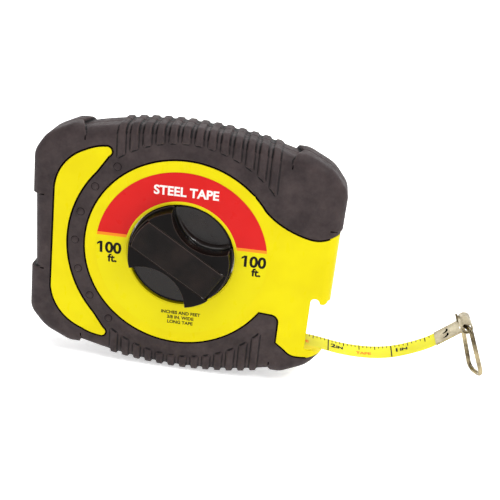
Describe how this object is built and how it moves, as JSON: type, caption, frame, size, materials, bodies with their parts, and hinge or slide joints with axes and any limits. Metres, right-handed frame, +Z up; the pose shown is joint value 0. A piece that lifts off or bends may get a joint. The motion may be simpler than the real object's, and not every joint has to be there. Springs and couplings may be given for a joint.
{
  "type": "closed-case long tape measure",
  "caption": "Closed-case long steel tape with black rubber guards, a flush folding crank, and a short run of free tape ending in a clip and wire ring.",
  "frame": {"origin": "On the reel's axis, where it meets the flat rear face of the case", "axes": "+X to the nose where the tape comes out, +Y out of the flat rear face along the reel's axis, with the crank on the -Y side, +Z up"},
  "size_m": [0.1824, 0.0243, 0.1006],
  "materials": {
    "case_plastic": "moulded yellow plastic, lightly glossy",
    "grip_rubber": "matte moulded black rubber",
    "label_print": "printed glossy film, yellow with a red upper part",
    "crank_plastic": "black plastic, satin to glossy",
    "reel_plastic": "plain black plastic",
    "tape_enamel": "yellow enamelled spring steel",
    "clip_steel": "plated steel, slightly worn",
    "bare_steel": "plain bright steel",
    "screw_steel": "zinc plated steel"
  },
  "bodies": {
    "case": {"front_cover": "case_plastic", "rear_cover": "case_plastic", "front_grip": "grip_rubber", "rear_grip": "grip_rubber", "face_label": "label_print", "case_screws": "screw_steel", "axle": "bare_steel", "retaining_screw": "screw_steel", "retaining_washer": "bare_steel"},
    "reel": {"spool_hub": "reel_plastic", "front_flange": "bare_steel", "rear_flange": "bare_steel", "tape_coil": "tape_enamel", "crank_disc": "crank_plastic", "disc_screws": "screw_steel", "arm_hinge_pin": "bare_steel"},
    "arm": {"crank_arm": "crank_plastic", "knob_rivet": "bare_steel"},
    "knob": {"crank_knob": "crank_plastic"},
    "blade": {"tape_blade": "tape_enamel", "end_clip": "clip_steel"},
    "ring": {"end_ring": "clip_steel"}
  },
  "joints": [
    {"name": "reel_spin", "type": "hinge", "parent": "case", "child": "reel", "pos_m": [0, -0.009, 0], "axis": [0, 1, 0], "continuous": true},
    {"name": "arm_fold", "type": "hinge", "parent": "reel", "child": "arm", "pos_m": [0.01364, -0.0232, -0.00836], "axis": [0.5225, 0, 0.8526], "range_deg": [0, 180]},
    {"name": "knob_spin", "type": "hinge", "parent": "arm", "child": "knob", "pos_m": [-0.01023, -0.019, 0.00627], "axis": [0, 1, 0], "continuous": true},
    {"name": "tape_pull", "type": "slide", "parent": "case", "child": "blade", "axis": [1, 0, 0], "range_m": [0, 0.04]},
    {"name": "ring_swing", "type": "hinge", "parent": "blade", "child": "ring", "pos_m": [0.1131, -0.0124, -0.0165], "axis": [0, 1, 0], "range_deg": [-50, 14]}
  ]
}
